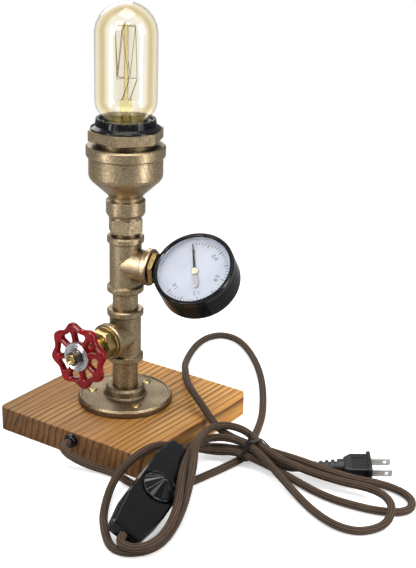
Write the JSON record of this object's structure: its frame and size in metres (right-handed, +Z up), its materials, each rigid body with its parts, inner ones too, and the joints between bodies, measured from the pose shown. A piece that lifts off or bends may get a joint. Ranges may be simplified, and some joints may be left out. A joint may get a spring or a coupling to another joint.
{
  "type": "industrial pipe table lamp",
  "caption": "Table lamp built from pipe fittings on a square wooden board, with a tap handwheel, a pressure gauge, a tubular filament bulb and a braided lead with a rotary dimmer.",
  "frame": {"origin": "centre of the board's flat underside", "axes": "+Z up along the pipe column; the tap points along -X; the gauge hangs over the -Y edge"},
  "size_m": [0.3785, 0.3424, 0.3527],
  "materials": {
    "amber_glass": "amber tint",
    "antique_bronze": "aged, matt",
    "black_plastic": "moulded phenolic",
    "black_steel": "satin black",
    "brass": "machined",
    "bright_steel": "bright",
    "circuit_green": "lacquered laminate",
    "clear_glass": "clear",
    "cord_braid": "brown braid",
    "dark_nut": "oil-blackened",
    "dial_white": "matt white",
    "filament_wire": "drawn wire",
    "gloss_black_plastic": "polished",
    "inner_glass": "clear",
    "nickel_blade": "nickel plated",
    "pine": "satin oil, burnt grain",
    "red_enamel": "gloss",
    "rubber_black": "moulded",
    "tie_black": "twist tie",
    "wire_insulation": "extruded"
  },
  "bodies": {
    "lamp": {"base_board": "pine", "bell_reducer": "antique_bronze", "bourdon_tube": "brass", "bulb_cap": "brass", "bulb_contact": "brass", "bulb_glass": "amber_glass", "contact_leaf": "brass", "cord_gland": "black_plastic", "cord_lamp_side": "cord_braid", "cord_plug_side": "cord_braid", "cord_tie": "tie_black", "dimmer_capacitor": "gloss_black_plastic", "dimmer_choke": "brass", "dimmer_circuit": "circuit_green", "dimmer_lower_shell": "gloss_black_plastic", "dimmer_screws": "bright_steel", "dimmer_upper_shell": "gloss_black_plastic", "dimmer_wires": "wire_insulation", "filament": "filament_wire", "flange_screws": "brass", "floor_flange": "antique_bronze", "gauge_bezel": "black_steel", "gauge_bush": "brass", "gauge_case": "black_steel", "gauge_dial": "dial_white", "gauge_socket": "brass", "gauge_window": "clear_glass", "glass_stem": "inner_glass", "hex_bushing": "antique_bronze", "hex_nipple": "antique_bronze", "internal_wires": "wire_insulation", "lampholder_body": "black_plastic", "lead_wires": "filament_wire", "lower_nipple": "antique_bronze", "lower_tee": "antique_bronze", "middle_nipple": "antique_bronze", "movement_plates": "brass", "packing_nut": "brass", "plug_blades": "nickel_blade", "plug_body": "rubber_black", "plug_relief": "rubber_black", "potentiometer": "bright_steel", "screw_shell": "brass", "shade_ring": "black_plastic", "support_wires": "filament_wire", "tap_bonnet": "brass", "upper_tee": "antique_bronze"},
    "tap_slide": {"tap_disc": "brass"},
    "handwheel": {"tap_stem": "brass", "handwheel": "red_enamel", "wheel_washer": "bright_steel", "wheel_nut": "dark_nut"},
    "sector": {"sector_gear": "brass"},
    "pointer": {"gauge_pointer": "dark_nut", "pointer_spindle": "brass"},
    "link": {"tip_link": "brass"},
    "dimmer_knob": {"dimmer_knob": "gloss_black_plastic", "knob_shaft": "bright_steel"}
  },
  "joints": [
    {"name": "tap_travel", "type": "slide", "parent": "lamp", "child": "tap_slide", "axis": [-1, 0, 0], "range_m": [0, 0.003]},
    {"name": "handwheel_turn", "type": "hinge", "parent": "tap_slide", "child": "handwheel", "pos_m": [-0.0602, 0, 0.0805], "axis": [-1, 0, 0], "range_deg": [0, 540]},
    {"name": "sector_swing", "type": "hinge", "parent": "lamp", "child": "sector", "pos_m": [0.00046, -0.05042, 0.15171], "axis": [-0.6471, -0.1083, 0.7547], "range_deg": [0, 40], "stiffness_Nm_per_rad": 0.002, "springref_deg": -2.86},
    {"name": "pointer_turn", "type": "hinge", "parent": "lamp", "child": "pointer", "pos_m": [0.00288, -0.06492, 0.15171], "axis": [-0.6471, -0.1083, 0.7547], "range_deg": [-240, 0]},
    {"name": "knob_turn", "type": "hinge", "parent": "lamp", "child": "dimmer_knob", "pos_m": [-0.1109, -0.1176, 0.02481], "axis": [0.034, -0.5393, 0.8414], "range_deg": [-285, 0]},
    {"name": "link_swing", "type": "hinge", "parent": "sector", "child": "link", "pos_m": [0.00715, -0.04929, 0.15761], "axis": [-0.6471, -0.1083, 0.7547], "range_deg": [-40, 0]}
  ],
  "couplings": [
    {"joint": "tap_travel", "follows": "handwheel_turn", "m_per_rad": 0.00031831},
    {"joint": "pointer_turn", "follows": "sector_swing", "ratio": -6},
    {"joint": "link_swing", "follows": "sector_swing", "ratio": -1}
  ]
}
